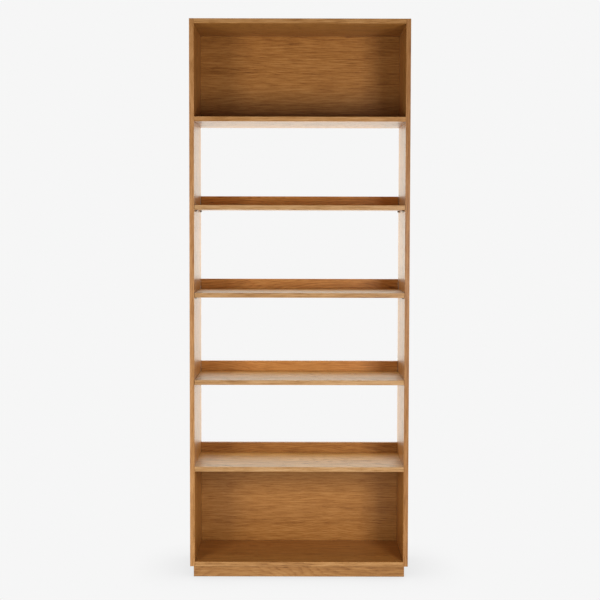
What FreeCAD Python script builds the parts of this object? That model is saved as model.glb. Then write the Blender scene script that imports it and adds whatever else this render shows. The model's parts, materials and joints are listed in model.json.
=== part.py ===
"""Bookcase with adjustable shelves, modelled in millimetres.

Frame: +Z up, +X to the right, the open front faces -Y. The origin is on the floor, under the
middle of the case. Every board keeps the case's directions, so a body is only moved, never tilted.
"""
import FreeCAD, Part
import math
import os
import re

import Sketcher

DOC = FreeCAD.newDocument("Bookcase")

DIMENSIONS = [
    # Case
    ("overall_width", 838),
    ("overall_depth", 330),
    ("overall_height", 2134),
    ("board_thickness", 18),
    ("closed_bay_height", 350),
    ("edge_radius", 1),
    # Plinth
    ("plinth_height", 43),
    ("plinth_inset", 13),
    ("corner_block_length", 60),
    ("corner_block_width", 30),
    ("corner_block_height", 40),
    ("corner_block_screw_setback", 15),
    # Shelf rails and back panels
    ("shelf_side_gap", 1),
    ("rail_height", 40),
    ("rail_thickness", 18),
    ("rail_let_in", 3),
    ("rail_screw_setback", 11),
    ("rail_screw_spacing", 300),
    ("back_thickness", 6),
    ("back_rabbet", 9),
    ("back_side_gap", 0.5),
    ("back_screw_spacing", 240),
    # Shelf pins and their rows of holes
    ("pin_row_setback", 50),
    ("pin_hole_diameter", 5.1),
    ("pin_hole_depth", 10),
    ("hole_pitch", 32),
    ("hole_steps_each_way", 2),
    ("pin_shank_diameter", 5),
    ("pin_shank_length", 9),
    ("pin_head_diameter", 7),
    ("pin_head_length", 8),
    ("pin_bevel", 0.5),
    ("pin_to_shelf_gap", 0.2),
    # Cam fittings: a cam in the board, a bolt in the side panel
    ("front_cam_setback", 50),
    ("rear_cam_setback", 37),
    ("cam_from_end", 24),
    ("cam_hole_diameter", 15),
    ("cam_hole_depth", 13.4),
    ("cam_diameter", 14.9),
    ("cam_height", 13.2),
    ("cam_channel_diameter", 7),
    ("cam_recess_depth", 2),
    ("cam_recess_length", 8),
    ("cam_recess_width", 1.6),
    ("bolt_thread_diameter", 6),
    ("bolt_thread_length", 11),
    ("bolt_hole_diameter", 6.1),
    ("bolt_side_hole_depth", 12),
    ("bolt_board_hole_diameter", 8),
    ("bolt_neck_diameter", 4),
    ("bolt_head_diameter", 6.4),
    ("bolt_head_length", 4),
    # Dowels
    ("dowel_from_cam", 48),
    ("dowel_diameter", 8),
    ("dowel_hole_diameter", 8.1),
    ("dowel_in_side", 12),
    ("dowel_in_board", 23),
    ("dowel_end_space", 0.5),
    ("dowel_bevel", 1),
    # Wood screws
    ("screw_hole_diameter", 4.1),
    ("screw_diameter", 4),
    ("screw_head_diameter", 7.5),
    ("screw_point_length", 4),
    ("screw_recess_depth", 1.2),
    ("screw_recess_length", 4.4),
    ("screw_recess_width", 1),
    ("rail_screw_length", 40),
    ("plinth_screw_length", 50),
    ("back_screw_length", 16),
    ("back_screw_diameter", 3),
    ("back_screw_hole_diameter", 3.1),
    ("back_screw_head_diameter", 6),
    # Pilot holes for a tip restraint, in the top panel
    ("restraint_hole_diameter", 3),
    ("restraint_hole_depth", 12),
    ("restraint_hole_spacing", 400),
    ("restraint_hole_setback", 25),
]

# Formulas in the sheet's names
INNER_HALF_WIDTH = "(overall_width / 2 - board_thickness)"
HALF_DEPTH = "(overall_depth / 2)"
SHELF_HALF_WIDTH = f"({INNER_HALF_WIDTH} - shelf_side_gap)"
OPEN_BAY_HEIGHT = ("((overall_height - plinth_height - 7 * board_thickness"
                   " - 2 * closed_bay_height) / 4)")
SHELF_STEP = f"({OPEN_BAY_HEIGHT} + board_thickness)"
LOWER_FIXED_LEVEL = "(plinth_height + board_thickness + closed_bay_height)"

# Height of each board's underside
LEVELS = {
    "bottom_panel": "(plinth_height)",
    "lower_fixed_shelf": LOWER_FIXED_LEVEL,
    "lower_adjustable_shelf": f"({LOWER_FIXED_LEVEL} + {SHELF_STEP})",
    "middle_adjustable_shelf": f"({LOWER_FIXED_LEVEL} + 2 * {SHELF_STEP})",
    "upper_adjustable_shelf": f"({LOWER_FIXED_LEVEL} + 3 * {SHELF_STEP})",
    "upper_fixed_shelf": f"({LOWER_FIXED_LEVEL} + 4 * {SHELF_STEP})",
    "top_panel": "(overall_height - board_thickness)",
}
BACK_PANEL_FLOORS = {"lower_back_panel": "bottom_panel", "upper_back_panel": "upper_fixed_shelf"}
FIXED_BOARDS = ["bottom_panel", "lower_fixed_shelf", "upper_fixed_shelf", "top_panel"]
ADJUSTABLE_SHELVES = ["lower_adjustable_shelf", "middle_adjustable_shelf", "upper_adjustable_shelf"]

# Where each fixed board's back panel rabbet is, and which face its cams are let into
RABBET_ON_TOP = {"bottom_panel": True, "lower_fixed_shelf": False,
                 "upper_fixed_shelf": True, "top_panel": False}
CAMS_ON_TOP = {"bottom_panel": False, "lower_fixed_shelf": False,
               "upper_fixed_shelf": False, "top_panel": True}

# Depth positions of the fittings
FRONT_CAM_Y = f"(front_cam_setback - {HALF_DEPTH})"
REAR_CAM_Y = f"({HALF_DEPTH} - rear_cam_setback)"
CAM_ROWS = [FRONT_CAM_Y, REAR_CAM_Y]
DOWEL_ROWS = [f"({FRONT_CAM_Y} + dowel_from_cam)", f"({REAR_CAM_Y} - dowel_from_cam)"]
PIN_ROWS = {"front": f"(pin_row_setback - {HALF_DEPTH})", "rear": f"({HALF_DEPTH} - pin_row_setback)"}
PIN_DROP = "(pin_head_diameter / 2 + pin_to_shelf_gap)"
RAIL_SCREW_Y = f"({HALF_DEPTH} - rail_screw_setback)"
RAIL_SCREW_COLUMNS = ["-rail_screw_spacing", "0", "rail_screw_spacing"]
BACK_SCREW_COLUMNS = [f"({step} * back_screw_spacing)" for step in (-1.5, -0.5, 0.5, 1.5)]
BACK_PANEL_HEIGHT = "(closed_bay_height + 2 * (back_rabbet - back_side_gap))"

# Smallest volume that a cut has to remove, in cubic millimetres
LEAST_CUT = 1

HALF_TURN = FreeCAD.Rotation(FreeCAD.Vector(0, 0, 1), 180)
POINT_FORWARD = FreeCAD.Rotation(FreeCAD.Vector(1, 0, 0), 90)

PARTS = []


def fill_sheet():
    """Put the driving dimensions in the document's sheet, one named cell each."""
    sheet = DOC.addObject("Spreadsheet::Sheet", "Dimensions")
    for row, (alias, value) in enumerate(DIMENSIONS, 1):
        sheet.set(f"A{row}", alias)
        sheet.set(f"B{row}", str(value))
        sheet.setAlias(f"B{row}", alias)
    DOC.recompute()


def formula(text):
    """Turn a formula in the sheet's names into a FreeCAD expression."""
    return re.sub(r"[a-z][a-z_]+", lambda name: "Dimensions." + name.group(0), text)


def new_body(name):
    """Start a body that is not itself a sub-part, such as the pattern for a group."""
    return DOC.addObject("PartDesign::Body", name)


def new_part(name):
    """Start a body that is one sub-part."""
    body = new_body(name)
    PARTS.append(body)
    return body


def place(thing, x="0", y="0", z="0", turn=None):
    """Set an object down at a point given by formulas."""
    if turn:
        thing.Placement.Rotation = turn
    for axis, text in zip("xyz", (x, y, z)):
        thing.setExpression(f"Placement.Base.{axis}", formula(text))


def origin_part(body, role):
    """Find one of a body's own origin planes or axes."""
    return next(item for item in body.Origin.OriginFeatures if item.Role == role)


def new_sketch(body, name, role, offset):
    """Attach an empty sketch to an origin plane, moved along the plane's normal."""
    sketch = body.newObject("Sketcher::SketchObject", name)
    sketch.AttachmentSupport = [(origin_part(body, role), "")]
    sketch.MapMode = "FlatFace"
    sketch.setExpression("AttachmentOffset.Base.z", formula(offset))
    return sketch


def bind(sketch, kind, places, text):
    """Add one dimension to a sketch and drive it with a formula."""
    index = sketch.addConstraint(Sketcher.Constraint(kind, *places, 1.0))
    sketch.setExpression(f"Constraints[{index}]", formula(text))


def outline(body, name, role, corners, offset="0"):
    """Sketch a closed outline of straight lines, each corner at (u, v) from the origin."""
    sketch = new_sketch(body, name, role, offset)
    count = len(corners)
    turn = 2 * math.pi / count
    start = [FreeCAD.Vector(math.cos(turn * i), math.sin(turn * i), 0) for i in range(count)]
    for i in range(count):
        sketch.addGeometry(Part.LineSegment(start[i], start[(i + 1) % count]), False)
    for i in range(count):
        sketch.addConstraint(Sketcher.Constraint("Coincident", i, 2, (i + 1) % count, 1))
    for i, (u, v) in enumerate(corners):
        bind(sketch, "DistanceX", (-1, 1, i, 1), u)
        bind(sketch, "DistanceY", (-1, 1, i, 1), v)
    return sketch


def rectangle(low_u, high_u, low_v, high_v):
    """Give a rectangle's four corners."""
    return [(low_u, low_v), (high_u, low_v), (high_u, high_v), (low_u, high_v)]


def circles(body, name, role, centres, diameter, offset="0"):
    """Sketch equal circles at (u, v) centres."""
    sketch = new_sketch(body, name, role, offset)
    for u, v in centres:
        index = sketch.addGeometry(Part.Circle(FreeCAD.Vector(), FreeCAD.Vector(0, 0, 1), 1), False)
        bind(sketch, "Diameter", (index,), diameter)
        bind(sketch, "DistanceX", (-1, 1, index, 3), u)
        bind(sketch, "DistanceY", (-1, 1, index, 3), v)
    return sketch


def pad(body, sketch, length):
    """Raise a sketch along its plane's normal."""
    feature = body.newObject("PartDesign::Pad", sketch.Name + "_pad")
    feature.Profile = sketch
    feature.setExpression("Length", formula(length))
    DOC.recompute()
    return feature


def pocket(body, sketch, depth, along_normal=False):
    """Cut a sketch into the body, against the plane's normal unless told otherwise."""
    before = body.Tip.Shape.Volume
    feature = body.newObject("PartDesign::Pocket", sketch.Name + "_pocket")
    feature.Profile = sketch
    feature.Reversed = along_normal
    feature.setExpression("Length", formula(depth))
    DOC.recompute()
    if before - feature.Shape.Volume < LEAST_CUT:
        raise RuntimeError(f"{feature.Label} cuts nothing")
    return feature


def mirror_pockets(body, pockets, role="YZ_Plane"):
    """Repeat pockets on the other side of an origin plane."""
    mirrored = body.newObject("PartDesign::Mirrored", pockets[0].Name + "_mirrored")
    mirrored.Originals = pockets
    mirrored.MirrorPlane = (origin_part(body, role), [""])
    body.Tip = mirrored
    DOC.recompute()


def dress_edges(body, kind, name, chosen, measure, size):
    """Fillet or chamfer the edges whose bounding boxes the test picks."""
    base = body.Tip
    names = [f"Edge{i}" for i, edge in enumerate(base.Shape.Edges, 1) if chosen(edge.BoundBox)]
    feature = body.newObject(f"PartDesign::{kind}", name)
    feature.Base = (base, names)
    feature.setExpression(measure, formula(size))
    DOC.recompute()


def ease_edges(body, chosen):
    """Round a board's edges slightly."""
    dress_edges(body, "Fillet", f"{body.Name}_eased", chosen, "Radius", "edge_radius")


def bevel_edges(body, name, chosen, size):
    """Bevel edges, as a countersink or a pin's end."""
    dress_edges(body, "Chamfer", name, chosen, "Size", size)


def turned(body, name, profile, role="XZ_Plane", axis="V_Axis"):
    """Turn a profile once round one of its sketch's axes."""
    sketch = outline(body, name, role, profile)
    feature = body.newObject("PartDesign::Revolution", name + "_turned")
    feature.Profile = sketch
    feature.ReferenceAxis = (sketch, [axis])
    feature.Angle = 360
    DOC.recompute()


def cross_recess(body, name, length, width, depth):
    """Sink a cross-shaped driver recess into the face at the local origin."""
    for suffix, half_u, half_v in (("along", length, width), ("across", width, length)):
        arm = outline(body, f"{name}_{suffix}", "XY_Plane",
                      rectangle(f"-{half_u} / 2", f"{half_u} / 2", f"-{half_v} / 2", f"{half_v} / 2"))
        pocket(body, arm, depth, along_normal=True)


def group(name, copies):
    """Make one sub-part of separate solids: copies of patterns, as (pattern, x, y, z, turn)."""
    links = []
    for number, (pattern, x, y, z, turn) in enumerate(copies, 1):
        link = DOC.addObject("App::Link", f"{name}_{number}")
        link.LinkedObject = pattern
        place(link, x, y, z, turn)
        links.append(link)
    compound = DOC.addObject("Part::Compound", name)
    compound.Links = links
    PARTS.append(compound)


def is_end_of_depth(box):
    """Tell whether an edge lies in a board's front or rear face."""
    return box.YLength < 0.01


# Case boards

def build_side_panels():
    """Left panel with its holes and rabbets, and the right one as its mirror image."""
    body = new_part("left_side_panel")
    plan = outline(body, "side_plan", "XY_Plane",
                   rectangle("-board_thickness", "0", f"-{HALF_DEPTH}", HALF_DEPTH))
    pad(body, plan, "overall_height - plinth_height")
    ease_edges(body, lambda box: True)

    for panel, floor in BACK_PANEL_FLOORS.items():
        foot = f"({back_panel_foot(floor)} - plinth_height)"
        low = f"{foot} - back_side_gap"
        high = f"{foot} + {BACK_PANEL_HEIGHT} + back_side_gap"
        recess = outline(body, f"side_rabbet_{panel}", "YZ_Plane",
                         rectangle(f"{HALF_DEPTH} - back_thickness", HALF_DEPTH, low, high))
        pocket(body, recess, "back_rabbet")
        spot = ("-back_rabbet / 2", f"{foot} + {BACK_PANEL_HEIGHT} / 2")
        drill_from_rabbet(body, f"side_screw_hole_{panel}", [spot])

    bolt_spots = []
    dowel_spots = []
    for board in FIXED_BOARDS:
        middle = f"{LEVELS[board]} - plinth_height + board_thickness / 2"
        bolt_spots += [(row, middle) for row in CAM_ROWS]
        dowel_spots += [(row, middle) for row in DOWEL_ROWS]
    bolts = circles(body, "side_bolt_holes", "YZ_Plane", bolt_spots, "bolt_hole_diameter")
    pocket(body, bolts, "bolt_side_hole_depth")
    dowels = circles(body, "side_dowel_holes", "YZ_Plane", dowel_spots, "dowel_hole_diameter")
    pocket(body, dowels, "dowel_in_side + dowel_end_space")

    for shelf in ADJUSTABLE_SHELVES:
        lowest = (f"{LEVELS[shelf]} - plinth_height - {PIN_DROP}"
                  " - hole_steps_each_way * hole_pitch")
        first = circles(body, f"{shelf}_pin_holes", "YZ_Plane",
                        [(row, lowest) for row in PIN_ROWS.values()], "pin_hole_diameter")
        drilled = pocket(body, first, "pin_hole_depth")
        column = body.newObject("PartDesign::LinearPattern", f"{shelf}_pin_hole_columns")
        column.Originals = [drilled]
        column.Direction = (origin_part(body, "Z_Axis"), [""])
        column.Mode = "Spacing"
        column.setExpression("Offset", formula("hole_pitch"))
        column.setExpression("Occurrences", formula("2 * hole_steps_each_way + 1"))
        body.Tip = column
        DOC.recompute()
    place(body, f"-{INNER_HALF_WIDTH}", "0", "plinth_height")

    right = DOC.addObject("Part::Mirroring", "right_side_panel")
    right.Source = body
    right.Normal = (1, 0, 0)
    right.Base = (0, 0, 0)
    PARTS.append(right)


def blank_board(body, half_width):
    """A horizontal board, its underside at local Z = 0, with eased front and rear edges."""
    plan = outline(body, f"{body.Name}_plan", "XY_Plane",
                   rectangle(f"-{half_width}", half_width, f"-{HALF_DEPTH}", HALF_DEPTH))
    pad(body, plan, "board_thickness")
    ease_edges(body, is_end_of_depth)


def build_fixed_board(name):
    """Top, bottom or fixed shelf: rabbet for the back panel, cam bores, bolt and dowel holes."""
    body = new_part(name)
    blank_board(body, INNER_HALF_WIDTH)

    low = "board_thickness - back_rabbet" if RABBET_ON_TOP[name] else "0"
    high = "board_thickness" if RABBET_ON_TOP[name] else "back_rabbet"
    recess = outline(body, f"{name}_rabbet", "YZ_Plane",
                     rectangle(f"{HALF_DEPTH} - back_thickness", HALF_DEPTH, low, high),
                     f"{INNER_HALF_WIDTH}")
    pocket(body, recess, f"2 * {INNER_HALF_WIDTH}")

    cam_x = f"{INNER_HALF_WIDTH} - cam_from_end"
    face = "board_thickness" if CAMS_ON_TOP[name] else "0"
    cams = circles(body, f"{name}_cam_bores", "XY_Plane", [(cam_x, row) for row in CAM_ROWS],
                   "cam_hole_diameter", face)
    cam_bores = pocket(body, cams, "cam_hole_depth", along_normal=not CAMS_ON_TOP[name])
    bolts = circles(body, f"{name}_bolt_holes", "YZ_Plane",
                    [(row, "board_thickness / 2") for row in CAM_ROWS],
                    "bolt_board_hole_diameter", INNER_HALF_WIDTH)
    bolt_holes = pocket(body, bolts, "cam_from_end")
    dowels = circles(body, f"{name}_dowel_holes", "YZ_Plane",
                     [(row, "board_thickness / 2") for row in DOWEL_ROWS],
                     "dowel_hole_diameter", INNER_HALF_WIDTH)
    dowel_holes = pocket(body, dowels, "dowel_in_board + dowel_end_space")
    mirror_pockets(body, [cam_bores, bolt_holes, dowel_holes])
    place(body, z=LEVELS[name])
    return body


def screw_hole(body, name, centres, diameter, head_diameter, depth=None):
    """Countersunk holes from the underside, right through unless a depth is given."""
    sketch = circles(body, name, "XY_Plane", centres, diameter)
    pocket(body, sketch, depth or "board_thickness", along_normal=True)
    if head_diameter:
        bevel_edges(body, f"{name}_sink", is_low_rim, f"({head_diameter} - {diameter}) / 2")


def is_low_rim(box):
    """Tell whether an edge is a screw hole's rim in a board's underside."""
    return box.ZMax < 0.01 and 3 < box.XLength < 5 and 3 < box.YLength < 5


def is_rear_rim(box):
    """Tell whether an edge is a screw hole's rim in a back panel's rear face."""
    return box.YMin > -0.01 and box.XLength < 5 and box.ZLength < 5


def build_adjustable_shelf(name):
    """A loose shelf, made ready for its rail."""
    body = new_part(name)
    blank_board(body, SHELF_HALF_WIDTH)
    prepare_for_rail(body, SHELF_HALF_WIDTH)
    place(body, z=LEVELS[name])


def prepare_for_rail(body, half_width):
    """A shallow rabbet that the rail stands in, and countersunk holes from below for its screws."""
    recess = outline(body, f"{body.Name}_rail_rabbet", "YZ_Plane",
                     rectangle(f"{HALF_DEPTH} - rail_thickness", HALF_DEPTH,
                               "board_thickness - rail_let_in", "board_thickness"),
                     half_width)
    pocket(body, recess, f"2 * {half_width}")
    spots = [(x, RAIL_SCREW_Y) for x in RAIL_SCREW_COLUMNS]
    screw_hole(body, f"{body.Name}_rail_screw_holes", spots, "screw_hole_diameter",
               "screw_head_diameter + 0.2")


def build_rail(shelf, half_width):
    """The low book stop, let into a shelf's rear edge and drilled from below for its screws."""
    body = new_part(f"{shelf}_rail")
    plan = outline(body, f"{shelf}_rail_plan", "XY_Plane",
                   rectangle(f"-{half_width}", half_width, f"{HALF_DEPTH} - rail_thickness", HALF_DEPTH))
    pad(body, plan, "rail_height + rail_let_in")
    ease_edges(body, lambda box: box.XLength > 1 and box.ZMin > 1)
    spots = [(x, RAIL_SCREW_Y) for x in RAIL_SCREW_COLUMNS]
    holes = circles(body, f"{shelf}_rail_pilot_holes", "XY_Plane", spots, "screw_hole_diameter")
    pocket(body, holes, "rail_screw_length + rail_let_in - board_thickness + 1", along_normal=True)
    place(body, z=f"{LEVELS[shelf]} + board_thickness - rail_let_in")


def build_back_panel(name, floor):
    """A thin panel in the rabbets behind a closed bay, with its rear face at the case's rear."""
    body = new_part(name)
    half_width = f"({INNER_HALF_WIDTH} + back_rabbet - back_side_gap)"
    plan = outline(body, f"{name}_plan", "XY_Plane",
                   rectangle(f"-{half_width}", half_width, "-back_thickness", "0"))
    pad(body, plan, BACK_PANEL_HEIGHT)
    holes = circles(body, f"{name}_screw_holes", "XZ_Plane", back_screw_spots(),
                    "back_screw_hole_diameter")
    pocket(body, holes, "back_thickness", along_normal=True)
    bevel_edges(body, f"{name}_sink", is_rear_rim,
                "(back_screw_head_diameter + 0.2 - back_screw_hole_diameter) / 2")
    place(body, y=HALF_DEPTH, z=back_panel_foot(floor))


def back_panel_foot(floor):
    """Height of a back panel's lower edge."""
    return f"{LEVELS[floor]} + board_thickness - back_rabbet + back_side_gap"


def back_screw_spots():
    """Screw places on a back panel: a row along its head and its foot, one at each side."""
    margin = "(back_rabbet / 2 - back_side_gap)"
    side_x = f"({INNER_HALF_WIDTH} + back_rabbet / 2)"
    spots = []
    for level in (margin, f"({BACK_PANEL_HEIGHT} - {margin})"):
        spots += [(x, level) for x in BACK_SCREW_COLUMNS]
    spots += [(x, f"({BACK_PANEL_HEIGHT} / 2)") for x in (f"-{side_x}", side_x)]
    return spots


# Plinth

def plinth_board(name, low_x, high_x, low_y, high_y):
    """One board of the base frame, standing on the floor, with all its edges eased."""
    body = new_part(name)
    plan = outline(body, f"{name}_plan", "XY_Plane", rectangle(low_x, high_x, low_y, high_y))
    pad(body, plan, "plinth_height")
    ease_edges(body, lambda box: True)
    place(body)


def build_plinth():
    """Front and rear boards across the full frame, the side boards between them."""
    half_width = "(overall_width / 2 - plinth_inset)"
    front = f"(plinth_inset - {HALF_DEPTH})"
    front_inner = f"({front} + board_thickness)"
    rear_inner = f"({HALF_DEPTH} - board_thickness)"
    inner_x = f"({half_width} - board_thickness)"
    plinth_board("plinth_front_board", f"-{half_width}", half_width, front, front_inner)
    plinth_board("plinth_rear_board", f"-{half_width}", half_width, rear_inner, HALF_DEPTH)
    plinth_board("plinth_left_board", f"-{half_width}", f"-{inner_x}", front_inner, rear_inner)
    plinth_board("plinth_right_board", inner_x, half_width, front_inner, rear_inner)

    block = new_body("corner_block_pattern")
    plan = outline(block, "corner_block_plan", "XY_Plane",
                   rectangle("0", "corner_block_length", "0", "corner_block_width"))
    pad(block, plan, "corner_block_height")
    spot = ("corner_block_screw_setback", "corner_block_width / 2")
    screw_hole(block, "corner_block_hole", [spot], "screw_hole_diameter", "screw_head_diameter + 0.2",
               "corner_block_height")
    mirror_block = DOC.addObject("Part::Mirroring", "mirrored_corner_block_pattern")
    mirror_block.Source = block
    mirror_block.Normal = (1, 0, 0)

    foot = "plinth_height - corner_block_height"
    start_x = f"({inner_x} - corner_block_length)"
    DOC.recompute()
    group("plinth_corner_blocks", [
        (block, start_x, front_inner, foot, None),
        (mirror_block, f"-{start_x}", front_inner, foot, None),
        (mirror_block, start_x, rear_inner, foot, HALF_TURN),
        (block, f"-{start_x}", rear_inner, foot, HALF_TURN),
    ])


def plinth_screw_spots():
    """Places of the screws that hold the plinth's corner blocks to the bottom panel."""
    x = f"({INNER_HALF_WIDTH} - plinth_inset - corner_block_length + corner_block_screw_setback)"
    front_y = f"(plinth_inset + board_thickness + corner_block_width / 2 - {HALF_DEPTH})"
    rear_y = f"({HALF_DEPTH} - board_thickness - corner_block_width / 2)"
    return [(side + x, y) for side in ("", "-") for y in (front_y, rear_y)]


# Fittings

def wood_screw(name, diameter, head_diameter, length):
    """A countersunk screw: head face at the local origin, point along +Z."""
    body = new_body(name)
    sink = f"({head_diameter} - {diameter}) / 2"
    profile = [("0", "0"), (f"{head_diameter} / 2", "0"), (f"{diameter} / 2", sink),
               (f"{diameter} / 2", f"{length} - screw_point_length"), ("0", length)]
    turned(body, f"{name}_profile", profile)
    cross_recess(body, f"{name}_recess", "screw_recess_length", "screw_recess_width",
                 "screw_recess_depth")
    return body


def cam_lock():
    """An eccentric cam: face at the local origin, body along +Z, its channel open towards +X."""
    body = new_body("cam_lock_pattern")
    rim = circles(body, "cam_rim", "XY_Plane", [("0", "0")], "cam_diameter")
    pad(body, rim, "cam_height")
    channel = circles(body, "cam_channel", "YZ_Plane", [("0", "board_thickness / 2")],
                      "cam_channel_diameter", "cam_diameter / 2")
    pocket(body, channel, "cam_diameter / 2 + bolt_head_length")
    cross_recess(body, "cam_recess", "cam_recess_length", "cam_recess_width", "cam_recess_depth")
    return body


def cam_bolt():
    """The bolt a cam pulls on: thread along +X into the side panel, head along -X in the board."""
    body = new_body("cam_bolt_pattern")
    reach = "(cam_from_end + bolt_head_length / 2)"
    neck = "(cam_from_end - bolt_head_length / 2)"
    shank_end = "(cam_from_end - cam_diameter / 2)"
    profile = [
        ("bolt_thread_length", "0"),
        ("bolt_thread_length", "bolt_thread_diameter / 2"),
        (f"-{shank_end}", "bolt_thread_diameter / 2"),
        (f"-{shank_end}", "bolt_neck_diameter / 2"),
        (f"-{neck}", "bolt_neck_diameter / 2"),
        (f"-{neck}", "bolt_head_diameter / 2"),
        (f"-{reach}", "bolt_head_diameter / 2"),
        (f"-{reach}", "0"),
    ]
    turned(body, "cam_bolt_profile", profile, axis="H_Axis")
    return body


def dowel():
    """A beech dowel along X with bevelled ends; local X = 0 is the joint's plane."""
    body = new_body("dowel_pattern")
    section = circles(body, "dowel_section", "YZ_Plane", [("0", "0")], "dowel_diameter",
                      "-dowel_in_board")
    pad(body, section, "dowel_in_board + dowel_in_side")
    bevel_edges(body, "dowel_ends", lambda box: box.XLength < 0.01, "dowel_bevel")
    return body


def build_board_fittings():
    """Cams, bolts and dowels of every fixed board, one group of each to a board."""
    cam = cam_lock()
    bolt = cam_bolt()
    peg = dowel()
    face_down = FreeCAD.Rotation(FreeCAD.Vector(1, 0, 0), 180)
    cam_x = f"({INNER_HALF_WIDTH} - cam_from_end)"
    for board in FIXED_BOARDS:
        level = LEVELS[board]
        middle = f"{level} + board_thickness / 2"
        if CAMS_ON_TOP[board]:
            cam_z = f"{level} + board_thickness"
            right_turn = face_down
            left_turn = HALF_TURN.multiply(face_down)
        else:
            cam_z = level
            right_turn = None
            left_turn = HALF_TURN
        group(f"{board}_cam_locks",
              [(cam, cam_x, row, cam_z, right_turn) for row in CAM_ROWS]
              + [(cam, f"-{cam_x}", row, cam_z, left_turn) for row in CAM_ROWS])
        group(f"{board}_cam_bolts", both_ends(bolt, CAM_ROWS, middle))
        group(f"{board}_dowels", both_ends(peg, DOWEL_ROWS, middle))


def both_ends(pattern, rows, height):
    """Copies of a fitting at a board's two ends, in each row."""
    return ([(pattern, INNER_HALF_WIDTH, row, height, None) for row in rows]
            + [(pattern, f"-{INNER_HALF_WIDTH}", row, height, HALF_TURN) for row in rows])


def build_screws():
    """Rail screws shelf by shelf, the back panels' screws and the plinth's."""
    rail_screw = wood_screw("rail_screw_pattern", "screw_diameter", "screw_head_diameter",
                            "rail_screw_length")
    for shelf in ["lower_fixed_shelf"] + ADJUSTABLE_SHELVES:
        group(f"{shelf}_rail_screws",
              [(rail_screw, x, RAIL_SCREW_Y, LEVELS[shelf], None) for x in RAIL_SCREW_COLUMNS])

    plinth_screw = wood_screw("plinth_screw_pattern", "screw_diameter", "screw_head_diameter",
                              "plinth_screw_length")
    group("plinth_screws",
          [(plinth_screw, x, y, "plinth_height - corner_block_height", None)
           for x, y in plinth_screw_spots()])

    back_screw = wood_screw("back_screw_pattern", "back_screw_diameter", "back_screw_head_diameter",
                            "back_screw_length")
    for name, floor in BACK_PANEL_FLOORS.items():
        foot = back_panel_foot(floor)
        group(f"{name}_screws",
              [(back_screw, x, HALF_DEPTH, f"{foot} + {v}", POINT_FORWARD)
               for x, v in back_screw_spots()])


def build_shelf_pins():
    """Four steel pins under each adjustable shelf, each a sub-part of its own."""
    profile = [
        ("-pin_shank_length", "0"),
        ("-pin_shank_length", "pin_shank_diameter / 2 - pin_bevel"),
        ("pin_bevel - pin_shank_length", "pin_shank_diameter / 2"),
        ("0", "pin_shank_diameter / 2"),
        ("0", "pin_head_diameter / 2"),
        ("pin_head_length - pin_bevel", "pin_head_diameter / 2"),
        ("pin_head_length", "pin_head_diameter / 2 - pin_bevel"),
        ("pin_head_length", "0"),
    ]
    for shelf in ADJUSTABLE_SHELVES:
        height = f"{LEVELS[shelf]} - {PIN_DROP}"
        place_name = shelf.replace("_adjustable_shelf", "_shelf_pin")
        for side, x, turn in (("left", f"-{INNER_HALF_WIDTH}", None),
                              ("right", INNER_HALF_WIDTH, HALF_TURN)):
            for row, y in PIN_ROWS.items():
                body = new_part(f"{place_name}_{side}_{row}")
                turned(body, f"{body.Name}_profile", profile, axis="H_Axis")
                place(body, x, y, height, turn)


def finish_bottom_panel(body):
    """Pilot holes in the underside for the plinth's screws."""
    screw_hole(body, "bottom_panel_pilot_holes", plinth_screw_spots(), "screw_hole_diameter", None,
               "plinth_screw_length - corner_block_height + 1")


def finish_top_panel(body):
    """Two pilot holes near the rear of the top face, for a tip restraint's screws."""
    y = f"({HALF_DEPTH} - restraint_hole_setback)"
    holes = circles(body, "restraint_holes", "XY_Plane",
                    [("-restraint_hole_spacing / 2", y), ("restraint_hole_spacing / 2", y)],
                    "restraint_hole_diameter", "board_thickness")
    pocket(body, holes, "restraint_hole_depth")


def drill_for_back_screws(body, foot_side):
    """Pilot holes in a board's rabbet for the back panel's screws."""
    z = "board_thickness - back_rabbet / 2" if foot_side else "back_rabbet / 2"
    drill_from_rabbet(body, f"{body.Name}_back_screw_holes", [(x, z) for x in BACK_SCREW_COLUMNS])


def drill_from_rabbet(body, name, spots):
    """Drill a rabbet's face forwards, at (x, z) spots."""
    holes = circles(body, name, "XZ_Plane", spots, "back_screw_hole_diameter",
                    f"back_thickness - {HALF_DEPTH}")
    pocket(body, holes, "back_screw_length - back_thickness + 1", along_normal=True)


def export_parts():
    """Check everything in the document, then write each sub-part's file."""
    DOC.recompute()
    for item in DOC.Objects:
        if "Invalid" in item.State or "Error" in item.State:
            raise RuntimeError(f"{item.Label} failed: {item.State}")
    os.makedirs("parts", exist_ok=True)
    for part in PARTS:
        if part.Shape.isNull() or not part.Shape.isValid():
            raise RuntimeError(f"{part.Label} has no valid shape")
        part.Shape.exportStep(f"parts/{part.Label}.step")
        print(f"{part.Label}: {len(part.Shape.Solids)} solid(s)")


fill_sheet()
build_side_panels()
for board_name in FIXED_BOARDS:
    board = build_fixed_board(board_name)
    drill_for_back_screws(board, RABBET_ON_TOP[board_name])
    if board_name == "bottom_panel":
        finish_bottom_panel(board)
    if board_name == "lower_fixed_shelf":
        prepare_for_rail(board, INNER_HALF_WIDTH)
    if board_name == "top_panel":
        finish_top_panel(board)
build_rail("lower_fixed_shelf", INNER_HALF_WIDTH)
for shelf_name in ADJUSTABLE_SHELVES:
    build_adjustable_shelf(shelf_name)
    build_rail(shelf_name, SHELF_HALF_WIDTH)
for panel_name, floor_name in BACK_PANEL_FLOORS.items():
    build_back_panel(panel_name, floor_name)
build_plinth()
build_board_fittings()
build_screws()
build_shelf_pins()
export_parts()
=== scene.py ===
"""Looks of the bookcase with adjustable shelves: lacquered oak veneer, metal fittings, a pale studio.

Everything is in metres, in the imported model's frame: +Z up, +X to the right, the open front
faces -Y, the origin on the floor under the middle of the case.
"""
import json
import math

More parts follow.
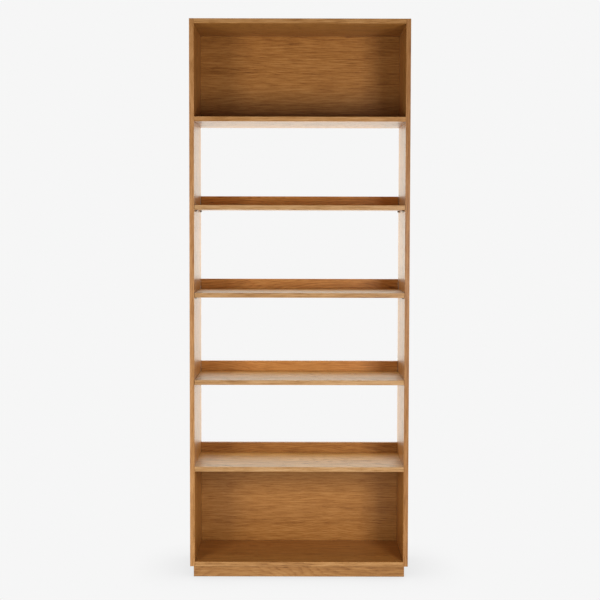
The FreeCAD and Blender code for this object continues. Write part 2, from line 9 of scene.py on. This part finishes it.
import bpy
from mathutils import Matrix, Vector

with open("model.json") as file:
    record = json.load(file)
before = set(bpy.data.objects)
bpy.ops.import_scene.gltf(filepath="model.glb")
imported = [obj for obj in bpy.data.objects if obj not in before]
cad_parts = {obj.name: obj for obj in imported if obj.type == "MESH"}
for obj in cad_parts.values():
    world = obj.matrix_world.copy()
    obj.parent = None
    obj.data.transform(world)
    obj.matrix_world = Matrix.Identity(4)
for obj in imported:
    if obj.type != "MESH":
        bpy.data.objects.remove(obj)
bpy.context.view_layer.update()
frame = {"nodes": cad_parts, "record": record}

# Camera: the photograph's, in front of the case's middle and looking slightly down
CAMERA_PLACE = (0.0013, -4.8381, 1.360)
CAMERA_LENS = 73.74
CAMERA_PITCH = -2.810
CAMERA_ROLL = -0.12
CAMERA_SHIFT_Y = -0.026

# Studio
BACKGROUND = 0.922
ROOM_TINT = (0.97, 1.00, 0.93)
ROOM_BEHIND = 2.0
ROOM_GLARE = 0.5
ROOM_FRONT = 0.10
ROOM_TOP = 0.35
FLOOR_FRONT = 0.30
FLOOR_POOL = 0.80
FLOOR_SIZE = 40.0
CONTACT_SHADE = 0.25
CONTACT_REACH = 0.25

LIGHTS = [
    # name, place, width, height, watts
    ("left_light", (-1.49, -2.36, 1.15), 0.65, 0.85, 27.0),
    ("right_light", (1.17, -2.36, 1.15), 0.65, 0.85, 37.0),
    ("low_fill", (0.0, -3.30, 0.45), 3.00, 0.90, 5.0),
]
LIGHT_AIM = (0.0, 0.0, 1.05)

# Woods: colour stops from pores to pale latewood, and what their surface is like
OAK = {
    "shades": [(0.00, (0.154, 0.049, 0.007)), (0.30, (0.309, 0.120, 0.022)),
               (0.60, (0.412, 0.176, 0.039)), (1.00, (0.515, 0.246, 0.067))],
    "ring_width": 0.0036,
    "pore_depth": 1.0,
    "roughness": 0.36,
}
BEECH = {
    "shades": [(0.00, (0.360, 0.180, 0.090)), (0.40, (0.520, 0.310, 0.175)),
               (1.00, (0.640, 0.420, 0.260))],
    "ring_width": 0.0024,
    "pore_depth": 0.4,
    "roughness": 0.55,
}
PINE = {
    "shades": [(0.00, (0.400, 0.190, 0.070)), (0.35, (0.600, 0.390, 0.200)),
               (1.00, (0.720, 0.530, 0.320))],
    "ring_width": 0.0042,
    "pore_depth": 0.2,
    "roughness": 0.70,
}

# Each wooden node: its wood, its axes (along the grain, across the veneer leaf, through it),
# the width of a veneer leaf, a seed that places its figure, how far the pith lies beside the leaf
# (0 draws arches, more draws straight lines), and multipliers for the colour of some of its faces.
# The multipliers are fitted to one view, and partly stand in for its lighting: the lighter shelf tops
# and rails and the darker plinth, upper back panel and lowest rail are painted light and shade, and
# the front-edge multipliers are partly the boards' own tone and partly painted light.
PLAIN = {}
SHELF = {"front": (1.11, 1.40, 2.55), "top": (1.46, 1.88, 2.60)}
BOARD = {"front": (1.04, 1.17, 1.75)}
LOW_BOARD = {"front": (0.96, 1.08, 1.62)}
LEFT = {"front": (1.10, 1.22, 1.90)}
RIGHT = {"front": (0.86, 0.89, 1.28)}
BACK = {"all": (0.94, 0.93, 0.93)}
RAIL = {"all": (1.15, 1.13, 1.12)}
RAIL_MORE_PAINTED_LIGHT = {"all": (1.35, 1.32, 1.25)}
RAIL_PAINTED_SHADE = {"all": (0.92, 0.93, 0.93)}
PLINTH = {"all": (0.75, 0.78, 0.97)}
ALONG_X_FLAT = "XYZ"
ALONG_X_UPRIGHT = "XZY"
ALONG_Z = "ZYX"
ALONG_Y_UPRIGHT = "YZX"
WOODEN = {
    "left_side_panel": (OAK, ALONG_Z, 0.165, 1.3, 0.00, LEFT),
    "right_side_panel": (OAK, ALONG_Z, 0.165, 2.9, 0.00, RIGHT),
    "bottom_panel": (OAK, ALONG_X_FLAT, 0.160, 3.7, 0.00, LOW_BOARD),
    "lower_fixed_shelf": (OAK, ALONG_X_FLAT, 0.160, 4.1, 0.00, SHELF),
    "lower_adjustable_shelf": (OAK, ALONG_X_FLAT, 0.160, 5.9, 0.00, SHELF),
    "middle_adjustable_shelf": (OAK, ALONG_X_FLAT, 0.160, 6.3, 0.00, SHELF),
    "upper_adjustable_shelf": (OAK, ALONG_X_FLAT, 0.160, 7.7, 0.00, SHELF),
    "upper_fixed_shelf": (OAK, ALONG_X_FLAT, 0.160, 8.1, 0.00, BOARD),
    "top_panel": (OAK, ALONG_X_FLAT, 0.160, 9.7, 0.00, BOARD),
    "lower_back_panel": (OAK, ALONG_X_UPRIGHT, 0.185, 10.3, 0.22, PLAIN),
    "upper_back_panel": (OAK, ALONG_X_UPRIGHT, 0.185, 11.9, 0.22, BACK),
    "lower_fixed_shelf_rail": (OAK, ALONG_X_UPRIGHT, 0.120, 12.3, 0.10, RAIL_PAINTED_SHADE),
    "lower_adjustable_shelf_rail": (OAK, ALONG_X_UPRIGHT, 0.120, 13.1, 0.10, RAIL),
    "middle_adjustable_shelf_rail": (OAK, ALONG_X_UPRIGHT, 0.120, 14.7, 0.10, RAIL),
    "upper_adjustable_shelf_rail": (OAK, ALONG_X_UPRIGHT, 0.120, 15.3, 0.10, RAIL_MORE_PAINTED_LIGHT),
    "plinth_front_board": (OAK, ALONG_X_UPRIGHT, 0.120, 16.9, 0.00, PLINTH),
    "plinth_rear_board": (OAK, ALONG_X_UPRIGHT, 0.120, 17.1, 0.00, PLINTH),
    "plinth_left_board": (OAK, ALONG_Y_UPRIGHT, 0.120, 18.7, 0.00, PLINTH),
    "plinth_right_board": (OAK, ALONG_Y_UPRIGHT, 0.120, 19.3, 0.00, PLINTH),
    "plinth_corner_blocks": (PINE, ALONG_X_FLAT, 0.070, 20.9, 0.00, PLAIN),
    "bottom_panel_dowels": (BEECH, ALONG_X_FLAT, 0.050, 21.7, 0.00, PLAIN),
    "lower_fixed_shelf_dowels": (BEECH, ALONG_X_FLAT, 0.050, 22.3, 0.00, PLAIN),
    "upper_fixed_shelf_dowels": (BEECH, ALONG_X_FLAT, 0.050, 23.1, 0.00, PLAIN),
    "top_panel_dowels": (BEECH, ALONG_X_FLAT, 0.050, 24.9, 0.00, PLAIN),
}

# Metals by the record's material slots: base colour, stain colour, roughness
METALS = {
    "cam_zinc": ((0.48, 0.47, 0.45), (0.34, 0.33, 0.32), 0.48),
    "fitting_steel": ((0.56, 0.55, 0.53), (0.42, 0.42, 0.42), 0.34),
    "screw_steel": ((0.60, 0.47, 0.22), (0.48, 0.42, 0.30), 0.36),
    "pin_steel": ((0.58, 0.57, 0.55), (0.46, 0.45, 0.43), 0.26),
}


class Graph:
    """Adds nodes to a material's tree, so that a material reads as a list of steps."""

    def __init__(self, tree):
        self.tree = tree

    def add(self, kind, inputs=(), **settings):
        """Add a node, set it up, and connect or set its inputs."""
        node = self.tree.nodes.new("ShaderNode" + kind)
        for name, value in settings.items():
            setattr(node, name, value)
        for name, value in dict(inputs).items():
            if isinstance(value, bpy.types.NodeSocket):
                self.tree.links.new(value, node.inputs[name])
            else:
                node.inputs[name].default_value = value
        return node

    def math(self, operation, *values, clamp=False):
        """Combine numbers."""
        return self.add("Math", enumerate(values), operation=operation, use_clamp=clamp).outputs[0]

    def stretch(self, axes, scales):
        """Put three coordinates together, each with its own scale."""
        scaled = [self.math("MULTIPLY", axis, scale) for axis, scale in zip(axes, scales)]
        return self.add("CombineXYZ", enumerate(scaled)).outputs[0]

    def noise(self, place, detail=2.0, roughness=0.5, scale=1.0):
        """Soft noise from 0 to 1."""
        inputs = {"Vector": place, "Scale": scale, "Detail": detail, "Roughness": roughness}
        return self.add("TexNoise", inputs)

    def remap(self, value, low, high, out_low=0.0, out_high=1.0):
        """Carry one range over to another, and stop at its ends."""
        inputs = enumerate((value, low, high, out_low, out_high))
        return self.add("MapRange", inputs).outputs[0]

    def ramp(self, factor, stops):
        """Turn a number into a colour."""
        node = self.add("ValToRGB", {"Fac": factor})
        elements = node.color_ramp.elements
        while len(elements) < len(stops):
            elements.new(1.0)
        for element, (position, colour) in zip(elements, stops):
            element.position = position
            element.color = (*colour, 1.0)
        return node.outputs["Color"]

    def mix(self, factor, first, second, blend="MIX"):
        """Mix two colours."""
        node = self.add("Mix", {"Factor": factor}, data_type="RGBA", blend_type=blend)
        for socket, value in zip([i for i in node.inputs if i.type == "RGBA"], (first, second)):
            if isinstance(value, bpy.types.NodeSocket):
                self.tree.links.new(value, socket)
            else:
                socket.default_value = (*value, 1.0)
        return next(o for o in node.outputs if o.type == "RGBA")


def new_material(name):
    """Start a material that has only its output, and return it with its graph."""
    material = bpy.data.materials.new(name)
    material.use_nodes = True
    material.node_tree.nodes.clear()
    return material, Graph(material.node_tree)


def show(graph, shader):
    """Connect a shader to the material's output."""
    graph.add("OutputMaterial", {"Surface": shader.outputs[0]})


def edge_wear_and_highlight(graph, reach):
    """A mask that is 1 on a solid's outer edges and 0 on its faces: rubbed metal edges, and the wood's
    painted edge highlight.
    """
    rounded = graph.add("Bevel", {"Radius": reach}, samples=4).outputs["Normal"]
    normal = graph.add("NewGeometry").outputs["Normal"]
    likeness = graph.add("VectorMath", {0: rounded, 1: normal}, operation="DOT_PRODUCT")
    return graph.remap(likeness.outputs["Value"], 0.99, 0.80)


def painted_crease_shade(graph, reach):
    """A painted-shade mask from ambient occlusion: 1 deep in a joint line or inside corner and 0 in
    the open.
    """
    open_share = graph.add("AmbientOcclusion", {"Distance": reach}, samples=4).outputs["AO"]
    return graph.remap(open_share, 0.75, 0.25)


def facing(graph, side):
    """A mask that is 1 where a surface faces to the named side."""
    if side == "all":
        return 1.0
    normal = graph.add("SeparateXYZ", {0: graph.add("NewGeometry").outputs["Normal"]}).outputs
    if side == "front":
        return graph.remap(normal["Y"], -0.5, -0.9)
    return graph.remap(normal["Z"], 0.5, 0.9)


def wood(name, look, axes, leaf_width, seed, pith_offset, painted_light_and_tone):
    """Sawn or sliced wood: rings round a wandering pith, leaf by leaf, with streaks and pores; face
    multipliers that are mostly painted light, a painted edge highlight and painted crease shade.
    """
    material, graph = new_material(name)
    place = graph.add("TexCoord").outputs["Object"]
    split = graph.add("SeparateXYZ", {0: place})
    along, across, through = (split.outputs[axis] for axis in axes)

    leaf_place = graph.math("ADD", graph.math("DIVIDE", across, leaf_width), 0.5 + seed % 1)
    leaf = graph.math("FLOOR", leaf_place)
    chance = graph.add("TexWhiteNoise", {"W": graph.math("ADD", leaf, seed)}, noise_dimensions="1D")
    chances = graph.add("SeparateColor", {0: chance.outputs["Color"]}).outputs
    in_leaf = graph.math("MULTIPLY", graph.math("SUBTRACT", graph.math("FRACT", leaf_place), 0.5),
                         leaf_width)
    run = graph.math("ADD", along, graph.math("MULTIPLY_ADD", chances[0], 3.0, seed))

    # The pith wanders along the leaf, which draws the pointed arches of flat-sawn oak
    wander = graph.noise(graph.stretch((run, across, through), (1.7, 7.0, 7.0)), 3.0)
    wandering = graph.add("SeparateColor", {0: wander.outputs["Color"]}).outputs
    drift = graph.noise(graph.stretch((run, leaf, leaf), (0.75, 3.0, 0.0)), 1.0).outputs[0]
    sideways = graph.math("MULTIPLY_ADD", wandering[0], 0.055, -0.0275)
    pith_side = graph.math("MULTIPLY_ADD", chances[1], 0.08, pith_offset - 0.04)
    from_pith = graph.math("ADD", graph.math("ADD", in_leaf, pith_side), sideways)
    depth = graph.math("MULTIPLY_ADD", drift, 0.16, -0.035)
    depth = graph.math("ADD", depth, graph.math("MULTIPLY_ADD", wandering[1], 0.03, through))
    radius = graph.math("SQRT", graph.math("ADD", graph.math("MULTIPLY", from_pith, from_pith),
                                           graph.math("MULTIPLY", depth, depth)))
    ripple = graph.noise(graph.stretch((run, across, through), (16.0, 90.0, 90.0)), 2.0).outputs[0]
    radius = graph.math("ADD", radius, graph.math("MULTIPLY", ripple, 0.0035))
    ring = graph.math("DIVIDE", radius, look["ring_width"])
    year = graph.add("TexWhiteNoise", {"W": graph.math("FLOOR", ring)}, noise_dimensions="1D")
    season = graph.math("FRACT", ring)
    latewood = graph.math("MULTIPLY", graph.remap(season, 0.0, 0.45), graph.remap(season, 1.0, 0.88))

    # Broad bands, streaks, fibres and pores
    bands = graph.noise(graph.stretch((run, across, through), (1.3, 26.0, 26.0)), 3.0).outputs[0]
    streaks = graph.noise(graph.stretch((run, across, through), (13.0, 190.0, 190.0)), 4.0,
                          0.6).outputs[0]
    fibres = graph.noise(graph.stretch((run, across, through), (50.0, 620.0, 620.0)), 2.0).outputs[0]
    dashes = graph.noise(graph.stretch((run, across, through), (75.0, 1500.0, 1500.0)), 1.0).outputs[0]
    pores = graph.math("MULTIPLY", graph.remap(dashes, 0.58, 0.68),
                       graph.remap(latewood, 1.0, 0.2, 0.25, 1.0))

    shade = graph.math("MULTIPLY_ADD", latewood, 0.22, -0.25)
    shade = graph.math("ADD", shade, graph.math("MULTIPLY", year.outputs["Value"], 0.10))
    shade = graph.math("ADD", shade, graph.remap(bands, 0.25, 0.75, 0.0, 0.28))
    shade = graph.math("ADD", shade, graph.remap(streaks, 0.25, 0.75, 0.0, 0.78))
    shade = graph.math("ADD", shade, graph.remap(fibres, 0.30, 0.70, 0.0, 0.16))
    shade = graph.math("ADD", shade, graph.math("MULTIPLY_ADD", chances[2], 0.10, -0.05))
    shade = graph.math("SUBTRACT", shade, graph.math("MULTIPLY", pores, 0.30 * look["pore_depth"]))
    colour = graph.ramp(shade, look["shades"])
    # Face multipliers: painted light on tops, rails and front edges, painted shade on the plinth and
    # upper back panel; the front edges are partly their own tone.
    for side, tint in painted_light_and_tone.items():
        colour = graph.mix(facing(graph, side), colour, tint, "MULTIPLY")

    # Painted highlight: a pale line along outer edges, broken by the streaks; it also makes the edges
    # rougher.
    edge_highlight_mask = graph.math("MULTIPLY", edge_wear_and_highlight(graph, 0.0020), graph.remap(streaks, 0.35, 0.65, 0.3, 1.0))
    pale = look["shades"][-1][1]
    colour = graph.mix(graph.math("MULTIPLY", edge_highlight_mask, 0.45), colour, pale)
    # Painted shade: darker in joint lines and inside corners, from ambient occlusion.
    joint_shade = painted_crease_shade(graph, 0.006)
    colour = graph.mix(graph.math("MULTIPLY", joint_shade, 0.55), colour, (0.045, 0.018, 0.006))

    matt = graph.math("MULTIPLY_ADD", pores, 0.25, look["roughness"])
    matt = graph.math("ADD", matt, graph.math("MULTIPLY_ADD", bands, 0.10, -0.05))
    matt = graph.math("ADD", matt, graph.math("MULTIPLY", edge_highlight_mask, 0.15), clamp=True)
    height = graph.math("SUBTRACT", graph.math("MULTIPLY", latewood, 0.35), pores)
    height = graph.math("ADD", height, graph.math("MULTIPLY", streaks, 0.5))
    relief = graph.add("Bump", {"Height": height, "Strength": 0.35, "Distance": 0.00012})
    shader = graph.add("BsdfPrincipled", {
        "Base Color": colour, "Roughness": matt, "Normal": relief.outputs[0],
        "Specular IOR Level": 0.25,
    })
    show(graph, shader)
    return material


def metal(name, colour, stain, roughness):
    """Plated or cast metal: blotches, fine scratches, brighter rubbed edges, painted shade in hollows.
    """
    material, graph = new_material(name)
    place = graph.add("TexCoord").outputs["Object"]
    split = graph.add("SeparateXYZ", {0: place})
    axes = [split.outputs[axis] for axis in "XYZ"]
    blotches = graph.noise(place, 4.0, 0.6, 160.0).outputs[0]
    scratches = graph.noise(graph.stretch(axes, (300.0, 2600.0, 2600.0)), 3.0, 0.6).outputs[0]
    grains = graph.noise(place, 2.0, 0.5, 2200.0).outputs[0]
    tint = graph.ramp(graph.remap(blotches, 0.35, 0.65), [(0.0, stain), (1.0, colour)])
    rubbed = edge_wear_and_highlight(graph, 0.0006)
    bright = tuple(min(1.0, 1.25 * channel) for channel in colour)
    tint = graph.mix(graph.math("MULTIPLY", rubbed, 0.7), tint, bright)
    # Painted shade in hollows and joints, from ambient occlusion.
    tint = graph.mix(graph.math("MULTIPLY", painted_crease_shade(graph, 0.0015), 0.6), tint, (0.05, 0.04, 0.035))
    matt = graph.math("MULTIPLY_ADD", blotches, -0.14, roughness + 0.07)
    matt = graph.math("ADD", matt, graph.remap(scratches, 0.45, 0.75, 0.0, 0.18), clamp=True)
    height = graph.math("ADD", graph.math("MULTIPLY", scratches, 0.6), grains)
    relief = graph.add("Bump", {"Height": height, "Strength": 0.30, "Distance": 0.00005})
    shader = graph.add("BsdfPrincipled", {
        "Base Color": tint, "Roughness": matt, "Normal": relief.outputs[0], "Metallic": 1.0,
    })
    show(graph, shader)
    return material


def dress(node, material):
    """Give a CAD node its material in every slot it has."""
    slots = frame["nodes"][node].material_slots
    if not slots:
        frame["nodes"][node].data.materials.append(material)
    for slot in slots:
        slot.material = material


def dress_nodes():
    """Materials for all CAD nodes: one per wooden node, one per metal."""
    metals = {slot: metal(slot, *values) for slot, values in METALS.items()}
    for subpart in frame["record"]["subparts"]:
        node = subpart["node"]
        if node in WOODEN:
            dress(node, wood(f"{node}_wood", *WOODEN[node]))
        else:
            dress(node, metals[subpart["material_slot"]])


def build_camera():
    """One camera, in front of the case and looking slightly down."""
    data = bpy.data.cameras.new("camera")
    data.sensor_width = 36.0
    data.lens = CAMERA_LENS
    data.shift_y = CAMERA_SHIFT_Y
    camera = bpy.data.objects.new("camera", data)
    camera.location = CAMERA_PLACE
    camera.rotation_euler = (math.radians(90.0 + CAMERA_PITCH), math.radians(CAMERA_ROLL), 0.0)
    bpy.context.scene.collection.objects.link(camera)
    bpy.context.scene.camera = camera


def build_lights():
    """Soft boxes left and right in front of the case, and a wide low fill."""
    for name, place, width, height, watts in LIGHTS:
        data = bpy.data.lights.new(name, "AREA")
        data.shape = "RECTANGLE"
        data.size = width
        data.size_y = height
        data.energy = watts
        light = bpy.data.objects.new(name, data)
        light.location = place
        light.rotation_euler = (Vector(LIGHT_AIM) - Vector(place)).to_track_quat("-Z", "Y").to_euler()
        light.visible_camera = False
        bpy.context.scene.collection.objects.link(light)


def build_room():
    """A faintly tinted room, bright behind the case and dim in front; the camera sees it plain."""
    world = bpy.data.worlds.new("room")
    world.use_nodes = True
    world.node_tree.nodes.clear()
    graph = Graph(world.node_tree)
    direction = graph.add("SeparateXYZ", {0: graph.add("TexCoord").outputs["Generated"]})
    level = graph.remap(direction.outputs["Y"], -0.3, 0.3, ROOM_FRONT, ROOM_BEHIND)
    glare = graph.remap(direction.outputs["Z"], 0.05, -0.05, 0.0, ROOM_GLARE)
    level = graph.math("ADD", level, glare)
    upper = graph.remap(direction.outputs["Z"], 0.55, 0.95, 1.0, ROOM_TOP)
    level = graph.math("MULTIPLY", level, upper)
    tinted = [graph.math("MULTIPLY", level, channel) for channel in ROOM_TINT]
    seen = graph.add("LightPath").outputs["Is Camera Ray"]
    colour = graph.mix(seen, graph.add("CombineXYZ", enumerate(tinted)).outputs[0],
                       (BACKGROUND, BACKGROUND, BACKGROUND))
    light = graph.add("Background", {"Color": colour, "Strength": 1.0})
    graph.add("OutputWorld", {"Surface": light.outputs[0]})
    bpy.context.scene.world = world


def build_floor():
    """A plain pale floor with a painted contact shadow where the case stands; it lights the case like
    the room does, with a brighter pool in front."""
    half = FLOOR_SIZE / 2
    mesh = bpy.data.meshes.new("floor")
    corners = [(-half, -half, 0), (half, -half, 0), (half, half, 0), (-half, half, 0)]
    mesh.from_pydata(corners, [], [(0, 1, 2, 3)])
    floor = bpy.data.objects.new("floor", mesh)
    bpy.context.scene.collection.objects.link(floor)
    material, graph = new_material("pale_floor")
    # Painted contact shadow from ambient occlusion, seen by the camera only.
    open_share = graph.add("AmbientOcclusion", {"Distance": CONTACT_REACH}, samples=8).outputs["AO"]
    level = graph.remap(open_share, 0.0, 1.0, BACKGROUND * (1 - CONTACT_SHADE), BACKGROUND)
    place = graph.add("TexCoord").outputs["Object"]
    rearward = graph.add("SeparateXYZ", {0: place}).outputs["Y"]
    unseen = graph.remap(rearward, -1.0, 1.0, FLOOR_FRONT, ROOM_BEHIND)
    away = graph.add("VectorMath", {0: place, 1: (0.0, -0.9, 0.0)}, operation="DISTANCE")
    unseen = graph.math("ADD", unseen, graph.remap(away.outputs["Value"], 1.1, 0.3, 0.0, FLOOR_POOL))
    seen = graph.add("LightPath").outputs["Is Camera Ray"]
    tinted = [graph.math("MULTIPLY", unseen, channel) for channel in ROOM_TINT]
    colour = graph.mix(seen, graph.add("CombineXYZ", enumerate(tinted)).outputs[0],
                       graph.add("CombineXYZ", {0: level, 1: level, 2: level}).outputs[0])
    show(graph, graph.add("Emission", {"Color": colour, "Strength": 1.0}))
    material.cycles.emission_sampling = "NONE"
    mesh.materials.append(material)


dress_nodes()
build_camera()
build_lights()
build_room()
build_floor()
bpy.context.scene.view_settings.view_transform = "Standard"
